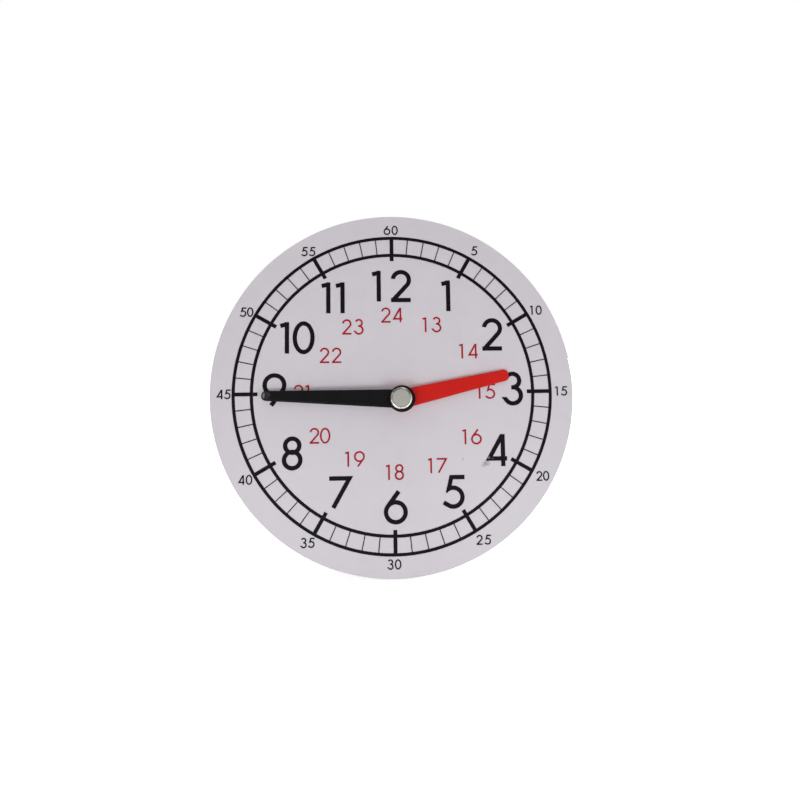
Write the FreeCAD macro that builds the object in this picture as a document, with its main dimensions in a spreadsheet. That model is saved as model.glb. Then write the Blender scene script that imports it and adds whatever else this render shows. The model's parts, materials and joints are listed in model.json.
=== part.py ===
import FreeCAD, Part
import math
import os
import Sketcher
from FreeCAD import Placement, Rotation, Vector

# A geared teaching clock on a fold-out strut. Every piece is built in the clock's own
# frame: X to the right, Y up the dial, Z out of the printed face, with the spindle on
# the Z axis and the face at Z zero. At the end the whole clock is leaned back on its
# strut and stood on the ground.

# Named sizes: lengths in millimetres, angles in degrees, teeth and copies as counts
SIZES = {
    # Dial plate
    "plate_diameter": 110.0,
    "plate_thickness": 2.0,
    "plate_edge_round": 0.4,
    # The spindle hole lies a little to the right of and below the middle of the plate
    "spindle_right": 2.35,
    "spindle_down": 2.05,
    # Printed minute track
    "ink_thickness": 0.08,
    "outer_ring_radius": 47.95,
    "inner_ring_radius": 42.55,
    "ring_stroke": 0.95,
    "heavy_tick_width": 1.15,
    "heavy_tick_inset": 1.8,
    "fine_tick_width": 0.3,
    "minute_count": 60,
    "hour_count": 12,
    # Printed numerals
    "hour_numeral_height": 9.6,
    "hour_numeral_stroke": 1.3,
    "hour_numeral_radius": 35.0,
    "day_numeral_height": 4.5,
    "day_numeral_stroke": 0.52,
    "day_numeral_radius": 25.0,
    "minute_numeral_height": 2.8,
    "minute_numeral_stroke": 0.4,
    "minute_numeral_radius": 50.9,
    # Spindle stack, from the rivet outward
    "rivet_shank_diameter": 2.4,
    "minute_pipe_diameter": 4.1,
    "hour_pipe_diameter": 5.8,
    "pipe_fit_clearance": 0.05,
    "face_clearance": 0.1,
    "press_clearance": 0.01,
    "minute_flats_width": 3.5,
    "hour_flats_width": 5.2,
    # Hour hand
    "hour_boss_diameter": 7.2,
    "hour_boss_height": 2.2,
    "hour_hand_length": 33.35,
    "hour_hand_root_width": 5.8,
    "hour_hand_tip_width": 3.4,
    "hour_hand_root_thickness": 1.7,
    "hour_hand_tip_thickness": 0.9,
    "hour_hand_lift": 0.1,
    "hour_tip_round": 1.3,
    "hour_hand_edge_round": 0.25,
    "hour_hand_angle": 77.5,
    # Minute hand
    "minute_boss_diameter": 7.85,
    "minute_boss_height": 2.9,
    "minute_hand_length": 41.45,
    "minute_hand_root_width": 5.6,
    "minute_hand_tip_width": 2.9,
    "minute_hand_root_thickness": 2.0,
    "minute_hand_tip_thickness": 1.1,
    "hand_tip_gap": 0.2,
    "minute_tip_round_share": 0.92,
    "minute_hand_edge_round": 0.5,
    "minute_hand_angle": 272.0,
    # Rivet head and clinched end
    "rivet_head_diameter": 6.5,
    "rivet_head_height": 1.3,
    "rivet_head_bevel": 0.55,
    "rivet_bevel_drop": 0.5,
    "clinch_diameter": 3.6,
    "clinch_height": 0.7,
    # Washers
    "hour_washer_diameter": 7.0,
    "hour_washer_thickness": 0.35,
    "stud_washer_diameter": 4.6,
    "stud_washer_thickness": 0.25,
    "spring_washer_diameter": 7.2,
    "spring_washer_thickness": 0.3,
    "spring_washer_dish": 0.35,
    "rear_washer_diameter": 6.4,
    "rear_washer_thickness": 0.5,
    # Gear train
    "gear_module": 0.8,
    "pressure_angle": 20.0,
    "minute_pinion_teeth": 10,
    "intermediate_wheel_teeth": 30,
    "intermediate_pinion_teeth": 8,
    "hour_wheel_teeth": 32,
    "profile_shift_share": 0.5,
    "backlash_share": 0.12,
    "addendum_share": 0.9,
    "dedendum_share": 1.2,
    "flank_point_count": 5,
    "hour_wheel_thickness": 1.6,
    "intermediate_wheel_thickness": 1.6,
    "gear_layer_gap": 0.35,
    "minute_pinion_overlap": 0.15,
    "pinion_hub_wall": 1.2,
    "intermediate_stud_diameter": 2.0,
    "stud_seat_depth": 1.2,
    "stud_blind_depth": 0.9,
    "stud_boss_diameter": 5.2,
    "stud_boss_height": 0.3,
    "wheel_window_count": 5,
    "wheel_rim_width": 2.2,
    # Gear case
    "case_wall": 1.6,
    "case_side_gap": 1.6,
    "case_corner_round": 1.2,
    "case_spigot_height": 1.0,
    "case_spigot_width": 1.0,
    "case_fit_clearance": 0.1,
    "rivet_boss_diameter": 9.0,
    "rivet_boss_height": 0.4,
    # Cover screws and their posts
    "screw_count": 4,
    "screw_angle": 45.0,
    "screw_post_diameter": 4.6,
    "screw_diameter": 2.2,
    "screw_seat_depth": 1.0,
    "screw_hole_clearance": 0.1,
    "screw_head_diameter": 4.2,
    "screw_head_height": 1.3,
    "screw_head_round": 0.5,
    "screw_recess_width": 0.7,
    "screw_recess_length": 2.4,
    "screw_recess_depth": 0.7,
    # Strut, its hinge and foot
    "lean_angle": 15.0,
    "strut_spread_angle": 27.0,
    "hinge_height": 10.0,
    "hinge_standoff": 4.3,
    "pin_diameter": 2.0,
    "pin_fit_clearance": 0.05,
    "pin_overhang": 0.4,
    "lug_width": 2.6,
    "lug_reach": 2.5,
    "lug_length": 9.0,
    "barrel_radius": 2.3,
    "barrel_length": 18.0,
    "hinge_side_gap": 0.15,
    "heel_height": 4.2,
    "heel_lift": 0.6,
    "strut_thickness": 2.4,
    "strut_root_width": 17.6,
    "strut_neck_length": 4.0,
    "strut_foot_width": 34.0,
    "strut_foot_length": 7.0,
    "strut_recess_depth": 0.8,
    "strut_recess_border": 3.0,
    "strut_edge_round": 0.5,
    "foot_depth": 4.6,
    "foot_pad_thickness": 1.0,
    "foot_pad_inset": 1.0,
    "foot_pad_end_inset": 0.25,
    # Overrun of every cut past the face that it leaves through
    "cut_overrun": 2.0,
    # How closely an edge has to lie to a level to be picked for rounding
    "pick_tolerance": 0.001,
}


class Size:
    """A value together with the sheet expression that gives it."""

    def __init__(self, value, text):
        self.value = value
        self.text = text

    def __add__(self, other):
        other = as_size(other)
        return Size(self.value + other.value, f"({self.text} + {other.text})")

    def __sub__(self, other):
        other = as_size(other)
        return Size(self.value - other.value, f"({self.text} - {other.text})")

    def __mul__(self, other):
        other = as_size(other)
        return Size(self.value * other.value, f"({self.text} * {other.text})")

    def __truediv__(self, other):
        other = as_size(other)
        return Size(self.value / other.value, f"({self.text} / {other.text})")

    def __neg__(self):
        return Size(-self.value, f"(0 - {self.text})")


def as_size(number):
    return number if isinstance(number, Size) else Size(float(number), repr(float(number)))


def cosine(angle):
    return Size(math.cos(math.radians(angle.value)), f"cos({angle.text} * 1 deg)")


def sine(angle):
    return Size(math.sin(math.radians(angle.value)), f"sin({angle.text} * 1 deg)")


# The sheet and the names used for its cells
doc = FreeCAD.newDocument("TeachingClock")
sheet = doc.addObject("Spreadsheet::Sheet", "Sizes")
for row, (name, value) in enumerate(SIZES.items(), start=1):
    sheet.set(f"A{row}", name)
    sheet.set(f"B{row}", str(value))
    sheet.setAlias(f"B{row}", name)
doc.recompute()
size = {name: Size(float(sheet.get(name)), f"Sizes.{name}") for name in SIZES}

zero = as_size(0)
near = size["pick_tolerance"].value
overrun = size["cut_overrun"]
face_gap = size["face_clearance"]
fit_gap = size["pipe_fit_clearance"]
press_gap = size["press_clearance"]

# Levels along the spindle, worked out from the face of the dial
plate_rear = -size["plate_thickness"]
hour_boss_base = size["hour_washer_thickness"] + size["hour_hand_lift"]
hour_boss_top = hour_boss_base + size["hour_boss_height"]
hour_tip_top = hour_boss_base + size["hour_hand_tip_thickness"]
minute_boss_base = hour_boss_top + face_gap
minute_boss_top = minute_boss_base + size["minute_boss_height"]
rivet_head_base = minute_boss_top + face_gap
rivet_head_top = rivet_head_base + size["rivet_head_height"]
hour_wheel_front = plate_rear - size["stud_boss_height"] - face_gap
hour_wheel_rear = hour_wheel_front - size["hour_wheel_thickness"]
intermediate_front = hour_wheel_rear - size["gear_layer_gap"]
intermediate_rear = intermediate_front - size["intermediate_wheel_thickness"]
minute_pinion_front = intermediate_front + size["minute_pinion_overlap"]
minute_pinion_rear = intermediate_rear - size["minute_pinion_overlap"]
stud_washer_front = intermediate_rear - face_gap
stud_washer_rear = stud_washer_front - size["stud_washer_thickness"]
rivet_boss_top = minute_pinion_rear - face_gap
case_floor = rivet_boss_top - size["rivet_boss_height"]
case_back = case_floor - size["case_wall"]
spring_washer_rear = case_back - size["spring_washer_dish"] - size["spring_washer_thickness"]
rear_washer_rear = spring_washer_rear - size["rear_washer_thickness"]
clinch_rear = rear_washer_rear - size["clinch_height"]

# Distances across the dial
plate_radius = size["plate_diameter"] / 2
plate_across = -size["spindle_right"]
plate_up = size["spindle_down"]
shank_radius = size["rivet_shank_diameter"] / 2
minute_pipe_radius = size["minute_pipe_diameter"] / 2
hour_pipe_radius = size["hour_pipe_diameter"] / 2
centre_distance = size["gear_module"] * (size["minute_pinion_teeth"] + size["intermediate_wheel_teeth"]) / 2
wheel_tip_radius = size["gear_module"] * (
    size["intermediate_wheel_teeth"] / 2 + size["addendum_share"] - size["profile_shift_share"]
)
case_inner_radius = centre_distance + wheel_tip_radius + size["case_side_gap"]
case_outer_radius = case_inner_radius + size["case_wall"]
post_radius = size["screw_post_diameter"] / 2
post_circle_radius = case_inner_radius - size["case_fit_clearance"] - post_radius
first_post = (
    post_circle_radius * cosine(size["screw_angle"]),
    post_circle_radius * sine(size["screw_angle"]),
)
stud_place = (zero, -centre_distance)
hinge_up = size["hinge_height"]
hinge_back = case_back - size["hinge_standoff"]


# Helpers that draw, bind and pick

def bind(feature, **sizes):
    for name, value in sizes.items():
        feature.setExpression(name, value.text)


def new_body(name):
    body = doc.addObject("PartDesign::Body", name)
    body.Label = name
    return body


def new_sketch(body, name, role, lift=None):
    sketch = body.newObject("Sketcher::SketchObject", name)
    plane = next(item for item in body.Origin.OriginFeatures if item.Role == role)
    sketch.AttachmentSupport = [(plane, "")]
    sketch.MapMode = "FlatFace"
    if lift is not None:
        sketch.setExpression("AttachmentOffset.Base.z", lift.text)
    return sketch


def fix_point(sketch, edge, point, place):
    for kind, value in zip(("DistanceX", "DistanceY"), place):
        number = sketch.addConstraint(Sketcher.Constraint(kind, -1, 1, edge, point, value.value))
        sketch.setExpression(f"Constraints[{number}]", value.text)


def draw_circle(sketch, radius, centre=(zero, zero)):
    middle = Vector(centre[0].value, centre[1].value, 0)
    edge = sketch.addGeometry(Part.Circle(middle, Vector(0, 0, 1), radius.value))
    fix_point(sketch, edge, 3, centre)
    number = sketch.addConstraint(Sketcher.Constraint("Radius", edge, radius.value))
    sketch.setExpression(f"Constraints[{number}]", radius.text)


def draw_polygon(sketch, corners):
    first = sketch.GeometryCount
    for corner, following in zip(corners, corners[1:] + corners[:1]):
        start = Vector(corner[0].value, corner[1].value, 0)
        end = Vector(following[0].value, following[1].value, 0)
        sketch.addGeometry(Part.LineSegment(start, end))
    for index in range(len(corners)):
        following = first + (index + 1) % len(corners)
        sketch.addConstraint(Sketcher.Constraint("Coincident", first + index, 2, following, 1))
        fix_point(sketch, first + index, 1, corners[index])


def draw_rectangle(sketch, left, right, bottom, top):
    draw_polygon(sketch, [(left, bottom), (right, bottom), (right, top), (left, top)])


def pad(body, name, sketch, length, both_sides=False):
    feature = body.newObject("PartDesign::Pad", name)
    feature.Profile = sketch
    feature.Midplane = both_sides
    feature.setExpression("Length", length.text)
    return feature


def pocket(body, name, sketch, depth, upward=False, both_sides=False):
    feature = body.newObject("PartDesign::Pocket", name)
    feature.Profile = sketch
    feature.Midplane = both_sides
    feature.Reversed = upward
    feature.setExpression("Length", depth.text)
    return feature


def revolve(body, name, sketch):
    feature = body.newObject("PartDesign::Revolution", name)
    feature.Profile = sketch
    feature.ReferenceAxis = (sketch, ["V_Axis"])
    feature.Angle = 360
    return feature


def repeat_round(body, name, originals, count):
    feature = body.newObject("PartDesign::PolarPattern", name)
    feature.Originals = originals
    axis = next(item for item in body.Origin.OriginFeatures if item.Role == "Z_Axis")
    feature.Axis = (axis, [""])
    feature.Angle = 360
    feature.setExpression("Occurrences", count.text)
    body.Tip = feature
    return feature


def round_edges(body, name, radius, chosen):
    doc.recompute()
    base = body.Tip
    names = [f"Edge{i}" for i, edge in enumerate(base.Shape.Edges, start=1) if chosen(edge)]
    feature = body.newObject("PartDesign::Fillet", name)
    feature.Base = (base, names)
    feature.setExpression("Radius", radius.text)
    return feature


def lies_at(edge, level):
    return abs(edge.BoundBox.ZMin - level.value) < near and abs(edge.BoundBox.ZMax - level.value) < near


def is_upright(edge):
    return edge.BoundBox.XLength < near and edge.BoundBox.YLength < near


def ring(name, outer_radius, inner_radius, bottom, height):
    """A plain washer: one cylinder cut by another."""
    outside = doc.addObject("Part::Cylinder", f"{name}_outside")
    bind(outside, Radius=outer_radius, Height=height)
    outside.setExpression("Placement.Base.z", bottom.text)
    hole = doc.addObject("Part::Cylinder", f"{name}_hole")
    bind(hole, Radius=inner_radius, Height=height + overrun * 2)
    hole.setExpression("Placement.Base.z", (bottom - overrun).text)
    washer = doc.addObject("Part::Cut", name)
    washer.Base = outside
    washer.Tool = hole
    washer.Label = name
    return washer


def feature_of(name, shape):
    feature = doc.addObject("Part::Feature", name)
    feature.Shape = shape
    feature.Label = name
    return feature


def disc(radius, bottom, top, across=0.0, along=0.0):
    return Part.makeCylinder(radius, top - bottom, Vector(across, along, bottom))


# Dial plate

def make_dial_plate():
    """A flat disc with a spindle hole, and on its rear the screw posts, the boss of the
    intermediate stud and the ring that centres the gear case."""
    body = new_body("dial_plate")
    outline = new_sketch(body, "plate_outline", "XY_Plane", plate_rear)
    draw_circle(outline, plate_radius, (plate_across, plate_up))
    pad(body, "plate_disc", outline, size["plate_thickness"])
    round_edges(body, "plate_front_edge", size["plate_edge_round"], lambda edge: lies_at(edge, zero))
    spigot_height = size["case_spigot_height"]
    spigot_outer = case_inner_radius - size["case_fit_clearance"]
    spigot = new_sketch(body, "spigot_outline", "XY_Plane", plate_rear - spigot_height)
    draw_circle(spigot, spigot_outer)
    draw_circle(spigot, spigot_outer - size["case_spigot_width"])
    pad(body, "case_spigot", spigot, spigot_height)
    stud_boss = new_sketch(body, "stud_boss_outline", "XY_Plane", plate_rear - size["stud_boss_height"])
    draw_circle(stud_boss, size["stud_boss_diameter"] / 2, stud_place)
    pad(body, "stud_boss", stud_boss, size["stud_boss_height"])
    post_outline = new_sketch(body, "post_outline", "XY_Plane", case_floor)
    draw_circle(post_outline, post_radius, first_post)
    post = pad(body, "screw_post", post_outline, plate_rear - case_floor)
    repeat_round(body, "screw_posts", [post], size["screw_count"])
    pilot_outline = new_sketch(body, "pilot_outline", "XY_Plane", case_floor)
    draw_circle(pilot_outline, size["screw_diameter"] / 2 + press_gap, first_post)
    pilot_depth = plate_rear - case_floor + size["screw_seat_depth"]
    pilot = pocket(body, "pilot_hole", pilot_outline, pilot_depth, upward=True)
    repeat_round(body, "pilot_holes", [pilot], size["screw_count"])
    spindle = new_sketch(body, "spindle_outline", "XY_Plane", plate_rear - overrun)
    draw_circle(spindle, hour_pipe_radius + fit_gap)
    pocket(body, "spindle_hole", spindle, size["plate_thickness"] + overrun * 2, upward=True)
    stud_top = plate_rear - size["stud_boss_height"]
    stud_seat = new_sketch(body, "stud_seat_outline", "XY_Plane", stud_top)
    draw_circle(stud_seat, size["intermediate_stud_diameter"] / 2 + press_gap, stud_place)
    seat_depth = size["stud_seat_depth"] + size["stud_boss_height"]
    pocket(body, "stud_seat", stud_seat, seat_depth, upward=True)
    return body


# Minute track, drawn about its own middle

def make_track_ring(body, name):
    half_stroke = size["ring_stroke"] / 2
    sketch = new_sketch(body, f"{name}_outline", "XY_Plane")
    draw_circle(sketch, size[f"{name}_radius"] + half_stroke)
    draw_circle(sketch, size[f"{name}_radius"] - half_stroke)
    pad(body, name, sketch, size["ink_thickness"])


def make_minute_track():
    """Two printed rings joined by fine and heavy ticks."""
    body = new_body("minute_track_print")
    make_track_ring(body, "outer_ring")
    fine = new_sketch(body, "fine_tick_outline", "XY_Plane")
    half_fine = size["fine_tick_width"] / 2
    draw_rectangle(fine, -half_fine, half_fine, size["inner_ring_radius"], size["outer_ring_radius"])
    fine_tick = pad(body, "fine_tick", fine, size["ink_thickness"])
    repeat_round(body, "fine_ticks", [fine_tick], size["minute_count"])
    make_track_ring(body, "inner_ring")
    heavy = new_sketch(body, "heavy_tick_outline", "XY_Plane")
    half_heavy = size["heavy_tick_width"] / 2
    inner_end = size["inner_ring_radius"] - size["heavy_tick_inset"]
    draw_rectangle(heavy, -half_heavy, half_heavy, inner_end, size["outer_ring_radius"])
    heavy_tick = pad(body, "heavy_tick", heavy, size["ink_thickness"])
    repeat_round(body, "heavy_ticks", [heavy_tick], size["hour_count"])
    return body


# Printed numerals

# Places and radii of the strokes of each digit, as shares of its height
DIGIT_SHARES = {
    "zero_width": 0.66,
    "one_stem": 0.14,
    "one_flag_drop": 0.05,
    "two_bowl": 0.245,
    "two_width": 0.6,
    "three_upper_bowl": 0.2,
    "three_arm": 0.04,
    "three_end_level": 0.253,
    "four_stem": 0.56,
    "four_tip": 0.08,
    "four_bar": 0.24,
    "four_width": 0.685,
    "five_flag_start": 0.3,
    "five_flag_end": 0.7,
    "five_stem_top": 0.32,
    "five_stem_foot": 0.19,
    "five_stem_level": 0.47,
    "five_bowl": 0.279,
    "five_bowl_middle": 0.3475,
    "five_end_length": 0.17,
    "six_bowl": 0.29,
    "seven_width": 0.66,
    "seven_top": 0.665,
    "seven_foot": 0.105,
    "eight_upper_bowl": 0.208,
    "eight_lower_bowl": 0.24,
    "overrun": 0.05,
}

# Starts and sweeps of the round strokes, in degrees anticlockwise from the right
DIGIT_ANGLES = {
    "two_start": -48,
    "two_sweep": 220,
    "three_upper_start": -90,
    "three_upper_sweep": 245,
    "three_lower_start": -143,
    "three_lower_sweep": 233,
    "five_start": -121,
    "five_sweep": 247,
    "six_meeting": 143,
}

# Height of each round digit beside the flat ones, which it overshoots a little
ROUND_HEIGHT_SHARES = {"0": 1.05, "2": 1.05, "3": 1.08, "5": 1.04, "6": 1.05, "8": 1.05, "9": 1.05}


class Digit:
    """The strokes of one numeral, on a box of its own height with its foot at zero."""

    def __init__(self, height, stroke, thickness):
        self.height = height
        self.stroke = stroke
        self.thickness = thickness
        self.solids = []

    def bar(self, start, end):
        """A straight stroke between two places given as shares of the height."""
        first = Vector(*start, 0) * self.height
        last = Vector(*end, 0) * self.height
        along = last - first
        side = Vector(-along.y, along.x, 0).normalize() * (self.stroke / 2)
        corners = [first + side, last + side, last - side, first - side, first + side]
        face = Part.Face(Part.makePolygon(corners))
        self.solids.append(face.extrude(Vector(0, 0, self.thickness)))

    def bow(self, centre, radius, start, sweep):
        """A round stroke; the angles run anticlockwise from the right."""
        middle = Vector(*centre, 0) * self.height
        outer = radius * self.height + self.stroke / 2
        inner = radius * self.height - self.stroke / 2
        solid = Part.makeCylinder(outer, self.thickness, middle, Vector(0, 0, 1), sweep)
        solid = solid.cut(Part.makeCylinder(inner, self.thickness, middle, Vector(0, 0, 1), sweep))
        solid.rotate(middle, Vector(0, 0, 1), start)
        self.solids.append(solid)

    def oval(self, centre, across, upright):
        """A closed oval stroke of the given half widths."""
        middle = Vector(*centre, 0) * self.height
        faces = []
        for grown in (self.stroke / 2, -self.stroke / 2):
            major = upright * self.height + grown
            minor = across * self.height + grown
            ellipse = Part.Ellipse(middle + Vector(0, major, 0), middle + Vector(minor, 0, 0), middle)
            faces.append(Part.Face(Part.Wire(ellipse.toShape())))
        self.solids.append(faces[0].cut(faces[1]).extrude(Vector(0, 0, self.thickness)))

    def tail(self, centre, radius, start, length):
        """A straight stroke that carries a bow on, backwards from its start."""
        leave = math.radians(start)
        first = (centre[0] + radius * math.cos(leave), centre[1] + radius * math.sin(leave))
        last = (first[0] + length * math.sin(leave), first[1] - length * math.cos(leave))
        self.bar(first, last)

    def clear(self, centre, radius):
        """Takes the room inside a bow out of the strokes drawn so far."""
        middle = Vector(*centre, 0) * self.height
        room = Part.makeCylinder(radius * self.height - self.stroke / 2, self.thickness, middle)
        self.solids = [solid.cut(room) for solid in self.solids]

    def keep(self, low, high):
        """Keeps what lies between two levels of the strokes drawn so far."""
        across = self.height * 2
        corner = Vector(-across, low * self.height, 0)
        strip = Part.makeBox(across * 2, (high - low) * self.height, self.thickness, corner)
        self.solids = [solid.common(strip) for solid in self.solids]

    def finished(self):
        self.keep(0, 1)
        whole = self.solids[0]
        if len(self.solids) > 1:
            whole = whole.multiFuse(self.solids[1:])
        return whole.removeSplitter()


def draw_digit(value, height, stroke, thickness):
    """One numeral of bars and bows. Every place is a share of its height."""
    digit = Digit(height, stroke, thickness)
    share = DIGIT_SHARES
    angle = DIGIT_ANGLES
    edge = stroke / height / 2
    top = 1 - edge
    past = share["overrun"]
    if value == "0":
        across = share["zero_width"] / 2 - edge
        digit.oval((across + edge, 1 / 2), across, 1 / 2 - edge)
    elif value == "1":
        stem = share["one_stem"] + edge
        digit.bar((stem, 0), (stem, 1))
        digit.bar((0, top - share["one_flag_drop"]), (stem, top))
    elif value == "2":
        radius = share["two_bowl"]
        middle = (radius + edge, top - radius)
        leave = math.radians(angle["two_start"])
        tangent = (middle[0] + radius * math.cos(leave), middle[1] + radius * math.sin(leave))
        digit.bow(middle, radius, angle["two_start"], angle["two_sweep"])
        digit.bar(tangent, (edge, edge))
        digit.bar((0, edge), (share["two_width"], edge))
    elif value == "3":
        upper = share["three_upper_bowl"]
        lower = (top - edge) / 2 - upper
        above = (lower + edge, top - upper)
        below = (lower + edge, edge + lower)
        waist = edge + lower * 2
        digit.tail(below, lower, angle["three_lower_start"], lower)
        digit.keep(0, share["three_end_level"])
        digit.bow(above, upper, angle["three_upper_start"], angle["three_upper_sweep"])
        digit.bow(below, lower, angle["three_lower_start"], angle["three_lower_sweep"])
        digit.bar((below[0] - share["three_arm"], waist), (below[0] + share["three_arm"], waist))
    elif value == "4":
        bar = share["four_bar"]
        foot = bar - edge
        lean = (share["four_stem"] - share["four_tip"]) / (1 - foot)
        head = (share["four_stem"] + past * lean, 1 + past)
        digit.bar(head, (share["four_tip"] - past * lean, foot - past))
        digit.keep(foot, 1)
        digit.bar((share["four_tip"] + edge, bar), (share["four_width"], bar))
        digit.bar((share["four_stem"], 0), (share["four_stem"], 1))
    elif value == "5":
        radius = share["five_bowl"]
        middle = (share["five_bowl_middle"], edge + radius)
        digit.bar((share["five_stem_top"], 1), (share["five_stem_foot"], share["five_stem_level"]))
        digit.clear(middle, radius)
        digit.bar((share["five_flag_start"], top), (share["five_flag_end"], top))
        digit.bow(middle, radius, angle["five_start"], angle["five_sweep"])
        digit.tail(middle, radius, angle["five_start"], share["five_end_length"])
    elif value in ("6", "9"):
        bowl = share["six_bowl"]
        middle = (bowl + edge, bowl + edge)
        meeting = math.radians(angle["six_meeting"])
        side = (middle[0] + bowl * math.cos(meeting), middle[1] + bowl * math.sin(meeting))
        slope = math.pi - meeting
        reach = (1 - edge * math.sin(slope) - side[1]) / math.cos(slope)
        tip = (side[0] + reach * math.sin(slope), side[1] + reach * math.cos(slope))
        digit.bow(middle, bowl, 0, 360)
        digit.bar(side, tip)
    elif value == "7":
        lean = share["seven_top"] - share["seven_foot"]
        rise = edge * math.sin(math.atan(lean))
        digit.bar((0, top), (share["seven_width"], top))
        head = (share["seven_top"] + past * lean, 1 + past)
        digit.bar(head, (share["seven_foot"] + rise * lean, rise))
    elif value == "8":
        upper = share["eight_upper_bowl"]
        lower = share["eight_lower_bowl"]
        digit.bow((lower + edge, edge + lower), lower, 0, 360)
        digit.bow((lower + edge, top - upper), upper, 0, 360)
    shape = digit.finished()
    if value == "9":
        shape.rotate(shape.BoundBox.Center, Vector(0, 0, 1), 180)
    shape.translate(Vector(-shape.BoundBox.XMin, 0, 0))
    return shape


# Room between neighbouring digits, as shares of their height
USUAL_GAP_SHARE = 0.13
GAP_AFTER_ONE_SHARE = 0.32
PAIR_GAP_SHARES = {
    "hour": {"10": 0.11, "11": 0.16, "12": 0.32},
    "day": {"20": 0.05, "22": 0.18},
    "minute": {"20": 0.06, "25": 0.19, "50": 0.06},
}

# Where each number stands, in the order of the hours 1 to 12: its distance from the
# middle, as a share of its ring's radius, and its turn past its hour, in degrees
NUMERAL_RADIUS_SHARES = {
    "hour": (0.973, 1.009, 1.035, 1.014, 0.991, 0.974, 0.957, 1.005, 1.021, 0.959, 0.984, 0.94),
    "day": (0.962, 1.051, 1.127, 1.087, 1.024, 0.951, 0.918, 1.019, 1.105, 0.886, 0.944, 0.954),
    "minute": (1.0, 1.003, 1.009, 1.013, 1.009, 0.996, 1.002, 1.0, 0.998, 0.997, 0.996, 0.992),
}
NUMERAL_TURNS = {
    "hour": (-1.0, 0.0, -1.4, -0.1, -0.5, -0.4, -1.7, -0.3, 2.0, 0.5, -1.7, -0.3),
    "day": (0.1, 1.5, -0.3, -0.1, -0.6, -0.3, 0.8, 0.3, 0.8, 1.5, -0.8, -0.5),
    "minute": (0.3, 0.5, 0.0, -0.2, -0.8, 0.5, 0.5, 0.2, 0.1, -0.5, -0.3, -0.2),
}


def gap_share(prefix, text, index):
    """Room before one digit of a number, after the digit on its left."""
    usual = GAP_AFTER_ONE_SHARE if text[index - 1] == "1" else USUAL_GAP_SHARE
    return PAIR_GAP_SHARES[prefix].get(text, usual)


def draw_number(number, prefix, shapes):
    """The digits of one number in a row, centred on the origin."""
    height = size[f"{prefix}_numeral_height"].value
    stroke = size[f"{prefix}_numeral_stroke"].value
    placed = []
    pen = 0.0
    text = str(number)
    for index, value in enumerate(text):
        own_height = height * ROUND_HEIGHT_SHARES.get(value, 1)
        if value not in shapes:
            shapes[value] = draw_digit(value, own_height, stroke, size["ink_thickness"].value)
        shape = shapes[value].copy()
        if index:
            pen += gap_share(prefix, text, index) * height
        shape.translate(Vector(pen, -own_height / 2, 0))
        pen += shape.BoundBox.XLength
        placed.append(shape)
    for shape in placed:
        shape.translate(Vector(-pen / 2, 0, 0))
    return placed


def make_numerals(name, prefix, numbers):
    """Upright numbers round the dial, the last of them at the top."""
    radius = size[f"{prefix}_numeral_radius"].value
    shapes = {}
    solids = []
    for place, number in enumerate(numbers, start=1):
        turn = 2 * math.pi * place / len(numbers) + math.radians(NUMERAL_TURNS[prefix][place - 1])
        reach = radius * NUMERAL_RADIUS_SHARES[prefix][place - 1]
        for shape in draw_number(number, prefix, shapes):
            shape.translate(Vector(reach * math.sin(turn), reach * math.cos(turn), 0))
            solids.append(shape)
    return feature_of(name, Part.makeCompound(solids))


# Hands

def make_blade(prefix, root_levels, tip_levels):
    """A blade with a sloping top and tapering sides. Each pair of levels holds its
    underside and its top, at the boss and at the tip."""
    body = new_body(f"{prefix}_hand")
    boss_radius = size[f"{prefix}_boss_diameter"] / 2
    length = size[f"{prefix}_hand_length"]
    root_half = size[f"{prefix}_hand_root_width"] / 2
    tip_half = size[f"{prefix}_hand_tip_width"] / 2
    side = new_sketch(body, f"{prefix}_blade_side", "YZ_Plane")
    draw_polygon(side, [
        (zero, root_levels[0]), (boss_radius, root_levels[0]), (length, tip_levels[0]),
        (length, tip_levels[1]), (boss_radius, root_levels[1]), (zero, root_levels[1]),
    ])
    pad(body, f"{prefix}_blade", side, root_half * 2, both_sides=True)
    flank = new_sketch(body, f"{prefix}_blade_flanks", "XY_Plane", rivet_head_top)
    beyond = length + overrun
    tip_beyond = tip_half - (root_half - tip_half) * (overrun / length)
    for way in (1, -1):
        draw_polygon(flank, [
            (root_half * way, zero),
            (tip_beyond * way, beyond),
            ((root_half + overrun) * way, beyond),
            ((root_half + overrun) * way, zero),
        ])
    pocket(body, f"{prefix}_blade_taper", flank, rivet_head_top + overrun)
    return body


def round_blade(body, prefix, tip_round, tip_top):
    """Rounds the two corners of the tip, then the whole upper edge."""
    middle = size[f"{prefix}_hand_length"].value / 2
    round_edges(
        body, f"{prefix}_tip_corners", tip_round,
        lambda edge: is_upright(edge) and edge.BoundBox.YMin > middle,
    )
    round_edges(
        body, f"{prefix}_top_edges", size[f"{prefix}_hand_edge_round"],
        lambda edge: edge.BoundBox.ZMin > tip_top.value - near and edge.BoundBox.YMax > near,
    )


def add_boss(body, prefix, base):
    """The boss round the spindle, with a flatted bore for the pipe that carries it."""
    height = size[f"{prefix}_boss_height"]
    boss = new_sketch(body, f"{prefix}_boss_outline", "XY_Plane", base)
    draw_circle(boss, size[f"{prefix}_boss_diameter"] / 2)
    pad(body, f"{prefix}_boss", boss, height)
    bore = new_sketch(body, f"{prefix}_bore_outline", "XY_Plane", base - overrun)
    bore_radius = size[f"{prefix}_pipe_diameter"] / 2 + press_gap
    draw_flatted_circle(bore, bore_radius, size[f"{prefix}_flats_width"] / 2 + press_gap)
    pocket(body, f"{prefix}_bore", bore, height + overrun * 2, upward=True)


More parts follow.
